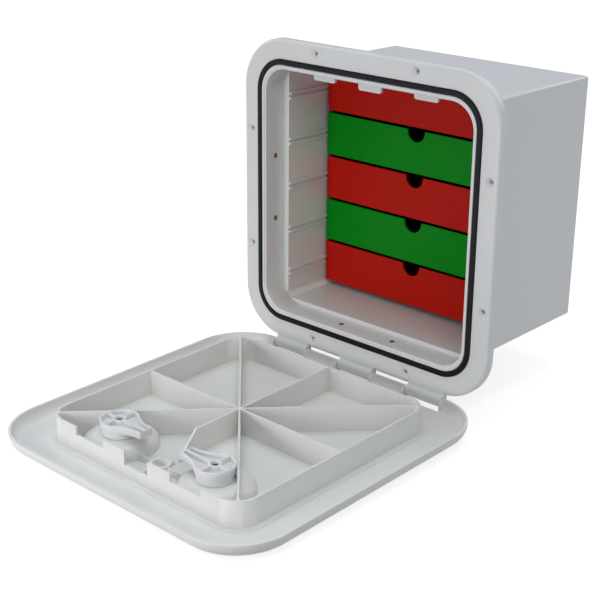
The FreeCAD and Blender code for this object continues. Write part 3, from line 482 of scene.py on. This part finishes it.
def plastic(name, colour, settings, drift=WHITE_DRIFT, shine=PLASTIC_SHINE):
    """Moulded plastic of one colour, with its specular level."""
    return skinned(
        name,
        colour,
        drift,
        settings.gloss,
        PLASTIC_ROUGHNESS_DRIFT,
        settings.grain,
        shine,
        PLASTIC_BUMP,
        PLASTIC_BUMP_DEPTH,
    )


def rubber(settings):
    """Extruded rubber of the seals."""
    return skinned(
        "seal_rubber",
        settings.black,
        RUBBER_DRIFT,
        settings.roughness,
        RUBBER_ROUGHNESS_DRIFT,
        RUBBER_GRAIN,
        RUBBER_SHINE,
        RUBBER_BUMP,
        RUBBER_BUMP_DEPTH,
    )


def steel(settings):
    """Turned stainless steel of the pins and screws, its colour darkened and browned by painted shade and
    painted reflection.
    """
    name = "turned_steel_painted_reflection"
    if name in bpy.data.materials:
        return bpy.data.materials[name]
    material, tree, shader = new_material(name)
    place = node_at(tree, "ShaderNodeTexCoord", (-900, 0)).outputs["Object"]
    streak = noise_node(tree, (-700, 0), place, STEEL_STREAKS, detail=2.0)
    low = settings.roughness - STEEL_ROUGHNESS_DRIFT
    high = settings.roughness + STEEL_ROUGHNESS_DRIFT
    rough = range_node(tree, (-450, 0), streak.outputs["Fac"], low, high)
    # This base colour holds painted shade and painted reflection besides the steel's own tone.
    shader.inputs["Base Color"].default_value = (*settings.steel, 1.0)
    shader.inputs["Metallic"].default_value = 1.0
    tree.links.new(rough.outputs[0], shader.inputs["Roughness"])
    return material


def soften(node, radius):
    """Welds a part's shown mesh and rounds its sharp edges, leaving the stored mesh alone."""
    weld = node.modifiers.new("weld", "WELD")
    weld.merge_threshold = WELD_GAP
    flat = node.modifiers.new("flat faces", "DECIMATE")
    flat.decimate_type = "DISSOLVE"
    flat.angle_limit = FLAT_ANGLE
    bevel = node.modifiers.new("rounded edges", "BEVEL")
    bevel.width = radius
    bevel.segments = EDGE_STEPS
    bevel.limit_method = "ANGLE"
    bevel.angle_limit = SHARP_ANGLE
    bevel.harden_normals = True


def finish(name, material, radius=0.0):
    """Gives a CAD node its material, and rounds its edges where a radius is given."""
    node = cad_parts[name]
    for slot in node.material_slots:
        slot.material = material
    if radius:
        soften(node, radius)


def pin_mark_group():
    """A shallow ring that an ejector pin leaves, round a centre and along one axis."""
    name = "pin_mark"
    if name in bpy.data.node_groups:
        return bpy.data.node_groups[name]
    inputs = (
        ("Height", "NodeSocketFloat", 0.0),
        ("Centre", "NodeSocketVector", (0.0, 0.0, 0.0)),
        ("Radius", "NodeSocketFloat", PIN_MARK_RADIUS),
        ("Depth", "NodeSocketFloat", 1.0),
    )
    group, start, end = new_group(name, inputs, (("Height", "NodeSocketFloat"),))
    links = group.links
    place = node_at(group, "ShaderNodeTexCoord", (-1000, -300)).outputs["Object"]
    away = node_at(group, "ShaderNodeVectorMath", (-800, -200), operation="SUBTRACT")
    links.new(place, away.inputs[0])
    links.new(start.outputs["Centre"], away.inputs[1])
    flat = node_at(group, "ShaderNodeVectorMath", (-600, -200), operation="MULTIPLY")
    flat.inputs[1].default_value = (1.0, 1.0, 0.0)
    links.new(away.outputs[0], flat.inputs[0])
    reach = node_at(group, "ShaderNodeVectorMath", (-400, -200), operation="LENGTH")
    links.new(flat.outputs[0], reach.inputs[0])
    off = math_node(group, (-200, -200), "SUBTRACT", reach.outputs["Value"], start.outputs["Radius"])
    off = math_node(group, (-20, -200), "ABSOLUTE", off.outputs[0], 0.0)
    line = node_at(group, "ShaderNodeMapRange", (160, -200), interpolation_type="SMOOTHSTEP")
    line.inputs["From Max"].default_value = PIN_MARK_LINE
    line.inputs["To Min"].default_value = 1.0
    line.inputs["To Max"].default_value = 0.0
    links.new(off.outputs[0], line.inputs["Value"])
    dip = math_node(group, (340, -200), "MULTIPLY", line.outputs[0], start.outputs["Depth"])
    level = math_node(group, (520, -100), "SUBTRACT", start.outputs["Height"], dip.outputs[0])
    links.new(level.outputs[0], end.inputs["Height"])
    return group


def mark_pins(material, centres, radius, depth):
    """Puts an ejector pin's ring at each centre, before the material's bump."""
    tree = material.node_tree
    bump = next(node for node in tree.nodes if node.type == "BUMP")
    source = bump.inputs["Height"].links[0].from_socket
    for index, centre in enumerate(centres):
        mark = node_at(tree, "ShaderNodeGroup", (-480, -300 - 180 * index), node_tree=pin_mark_group())
        mark.inputs["Centre"].default_value = centre
        mark.inputs["Radius"].default_value = radius
        mark.inputs["Depth"].default_value = depth
        tree.links.new(source, mark.inputs["Height"])
        source = mark.outputs["Height"]
    tree.links.new(source, bump.inputs["Height"])


def frame_plastic(scene):
    """White moulding of the frame and box."""
    settings = scene.hatch_plastic
    return plastic("frame_moulding", settings.white, settings)


def lid_plastic(scene):
    """White moulding of the lid, with the rings of the ejector pins on its floor."""
    settings = scene.hatch_plastic
    if "lid_moulding" in bpy.data.materials:
        return bpy.data.materials["lid_moulding"]
    material = plastic("lid_moulding", settings.lid_white, settings)
    mark_pins(material, PIN_MARKS, PIN_MARK_RADIUS, PIN_MARK_DEPTH)
    return material


def latch_plastic(scene):
    """White moulding of the latches, with a painted tint of the cool overhead light in its colour."""
    settings = scene.hatch_plastic
    return plastic("latch_moulding_painted_cool_light", settings.latch_white, settings)


class HATCH_OT_frame(Operator):
    """Finish the frame's moulding with its flange, throat and lugs"""

    bl_idname = "hatch.finish_frame"
    bl_label = "Hatch frame"

    def execute(self, context):
        finish("hatch_frame", frame_plastic(context.scene), context.scene.hatch_plastic.edge)
        return {"FINISHED"}


class HATCH_OT_box(Operator):
    """Finish the storage box behind the frame"""

    bl_idname = "hatch.finish_box"
    bl_label = "Storage box"

    def execute(self, context):
        finish("storage_box", frame_plastic(context.scene), context.scene.hatch_plastic.edge)
        return {"FINISHED"}


class HATCH_OT_lid(Operator):
    """Finish the ribbed lid"""

    bl_idname = "hatch.finish_lid"
    bl_label = "Lid"

    def execute(self, context):
        finish("lid", lid_plastic(context.scene), context.scene.hatch_plastic.edge)
        return {"FINISHED"}


class HATCH_OT_latches(Operator):
    """Finish the turn handles, washers and cams"""

    bl_idname = "hatch.finish_latches"
    bl_label = "Latches"

    def execute(self, context):
        material = latch_plastic(context.scene)
        for side in SIDES:
            for part in ("handle", "washer", "cam"):
                finish("latch_" + part + "_" + side, material, context.scene.hatch_plastic.edge)
        return {"FINISHED"}


class HATCH_OT_drawers(Operator):
    """Finish the five drawers, red and green by turns"""

    bl_idname = "hatch.finish_drawers"
    bl_label = "Drawers"

    def execute(self, context):
        settings = context.scene.hatch_plastic
        red = plastic("red_moulding", settings.red, settings, DRAWER_DRIFT, settings.drawer_shine)
        green = plastic("green_moulding", settings.green, settings, DRAWER_DRIFT, settings.drawer_shine)
        for number in range(1, DRAWER_COUNT + 1):
            finish("drawer_" + str(number), red if number % 2 else green, settings.edge)
        return {"FINISHED"}


class HATCH_OT_seals(Operator):
    """Finish the lid seal and the two O-rings"""

    bl_idname = "hatch.finish_seals"
    bl_label = "Seals"

    def execute(self, context):
        material = rubber(context.scene.hatch_rubber)
        for name in ("lid_seal", "latch_seal_left", "latch_seal_right"):
            finish(name, material)
        return {"FINISHED"}


class HATCH_OT_fasteners(Operator):
    """Finish the hinge pins and all screws"""

    bl_idname = "hatch.finish_fasteners"
    bl_label = "Pins and screws"

    def execute(self, context):
        material = steel(context.scene.hatch_steel)
        finish("box_screws", material)
        for side in SIDES:
            finish("hinge_pin_" + side, material)
            finish("latch_screw_" + side, material)
        return {"FINISHED"}


def add_floor(settings):
    """A pale floor under the object that the camera sees as white, with the object's shadow."""
    half = settings.floor_size / 2
    level = LOWEST.z - FLOOR_DROP
    corners = [(-half, -half, level), (half, -half, level), (half, half, level), (-half, half, level)]
    mesh = bpy.data.meshes.new("floor")
    mesh.from_pydata(corners, [], [(0, 1, 2, 3)])
    floor = bpy.data.objects.new("floor", mesh)
    bpy.context.scene.collection.objects.link(floor)
    material, tree, shader = new_material("floor_paper")
    shader.inputs["Base Color"].default_value = (FLOOR_GREY, FLOOR_GREY, FLOOR_GREY, 1.0)
    shader.inputs["Roughness"].default_value = FLOOR_ROUGHNESS
    shader.inputs["Emission Color"].default_value = (1.0, 1.0, 1.0, 1.0)
    rays = node_at(tree, "ShaderNodeLightPath", (-700, -300)).outputs
    seen = math_node(tree, (-500, -300), "MAXIMUM", rays["Is Camera Ray"], rays["Is Glossy Ray"])
    lift = math_node(tree, (-300, -300), "MULTIPLY", seen.outputs[0], settings.floor_lift)
    tree.links.new(lift.outputs[0], shader.inputs["Emission Strength"])
    mesh.materials.append(material)


def add_world(settings):
    """Even room light, seen as white by the camera."""
    world = bpy.data.worlds.new("room")
    bpy.context.scene.world = world
    world.use_nodes = True
    tree = world.node_tree
    background = tree.nodes["Background"]
    rays = node_at(tree, "ShaderNodeLightPath", (-700, 0)).outputs
    seen = math_node(tree, (-500, 0), "MAXIMUM", rays["Is Camera Ray"], rays["Is Transmission Ray"])
    colour = node_at(tree, "ShaderNodeMix", (-300, 0), data_type="RGBA")
    tree.links.new(seen.outputs[0], colour.inputs["Factor"])
    colour.inputs["A"].default_value = (*settings.room, 1.0)
    colour.inputs["B"].default_value = (1.0, 1.0, 1.0, 1.0)
    tree.links.new(colour.outputs["Result"], background.inputs["Color"])


def aim(lamp, towards):
    """Adds a lamp that shines from a direction."""
    box = bpy.data.objects.new(lamp.name, lamp)
    box.rotation_mode = "QUATERNION"
    box.rotation_quaternion = towards.to_track_quat("Z", "Y")
    bpy.context.scene.collection.objects.link(box)
    return box


def add_lamps(settings):
    """Far softboxes round the object, and a near one low in front."""
    for name, azimuth, height, level, tint in FAR_LAMPS:
        lamp = bpy.data.lights.new(name, "SUN")
        lamp.energy = level * settings.lamp_strength
        lamp.color = tint
        lamp.angle = settings.lamp_angle
        turn, rise = math.radians(azimuth), math.radians(height)
        level_reach = math.cos(rise)
        aim(lamp, Vector((math.sin(turn) * level_reach, -math.cos(turn) * level_reach, math.sin(rise))))
    lamp = bpy.data.lights.new("near_front", "AREA")
    lamp.shape = "DISK"
    lamp.size = settings.near_size
    lamp.energy = settings.near_power * settings.lamp_strength
    place = Vector(settings.near_place)
    aim(lamp, place - NEAR_LAMP_TARGET).location = place


def add_camera(settings):
    """The camera at the photograph's place."""
    data = bpy.data.cameras.new("camera")
    data.lens = settings.lens
    data.sensor_width = SENSOR_WIDTH
    data.shift_x, data.shift_y = settings.shift
    data.clip_start = NEAREST_SEEN
    data.clip_end = FARTHEST_SEEN
    camera = bpy.data.objects.new("camera", data)
    turn = Matrix.Rotation(settings.azimuth, 4, "Z")
    turn = turn @ Matrix.Rotation(math.pi / 2 - settings.elevation, 4, "X")
    turn = turn @ Matrix.Rotation(settings.roll, 4, "Z")
    camera.matrix_world = Matrix.Translation(settings.camera_place) @ turn
    bpy.context.scene.collection.objects.link(camera)
    bpy.context.scene.camera = camera


class HATCH_OT_stage(Operator):
    """Set up the floor, the room, the lamps and the camera"""

    bl_idname = "hatch.set_stage"
    bl_label = "Studio"

    def execute(self, context):
        settings = context.scene.hatch_stage
        add_floor(settings)
        add_world(settings)
        add_lamps(settings)
        add_camera(settings)
        context.scene.view_settings.view_transform = "Standard"
        return {"FINISHED"}


OPERATORS = (
    HATCH_OT_frame,
    HATCH_OT_box,
    HATCH_OT_lid,
    HATCH_OT_latches,
    HATCH_OT_drawers,
    HATCH_OT_seals,
    HATCH_OT_fasteners,
    HATCH_OT_stage,
)


class HATCH_PT_sidebar(Panel):
    """The hatch's pieces and their settings"""

    bl_idname = "HATCH_PT_sidebar"
    bl_label = "Hatch"
    bl_space_type = "VIEW_3D"
    bl_region_type = "UI"
    bl_category = "Hatch"

    def draw(self, context):
        layout = self.layout
        for setting in SETTINGS:
            group = getattr(context.scene, setting)
            column = layout.column(align=True)
            for name in group.__annotations__:
                column.prop(group, name)
        for operator in OPERATORS:
            layout.operator(operator.bl_idname)


SETTINGS = {
    "hatch_plastic": HatchPlasticSettings,
    "hatch_rubber": HatchRubberSettings,
    "hatch_steel": HatchSteelSettings,
    "hatch_stage": HatchStageSettings,
}


def register():
    for group in SETTINGS.values():
        bpy.utils.register_class(group)
    for name, group in SETTINGS.items():
        setattr(bpy.types.Scene, name, PointerProperty(type=group))
    for operator in OPERATORS:
        bpy.utils.register_class(operator)
    bpy.utils.register_class(HATCH_PT_sidebar)


def unregister():
    bpy.utils.unregister_class(HATCH_PT_sidebar)
    for operator in reversed(OPERATORS):
        bpy.utils.unregister_class(operator)
    for name in SETTINGS:
        delattr(bpy.types.Scene, name)
    for group in reversed(list(SETTINGS.values())):
        bpy.utils.unregister_class(group)


def main():
    """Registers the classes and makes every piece."""
    register()
    for operator in OPERATORS:
        family, name = operator.bl_idname.split(".")
        getattr(getattr(bpy.ops, family), name)()


if __name__ == "__main__":
    main()
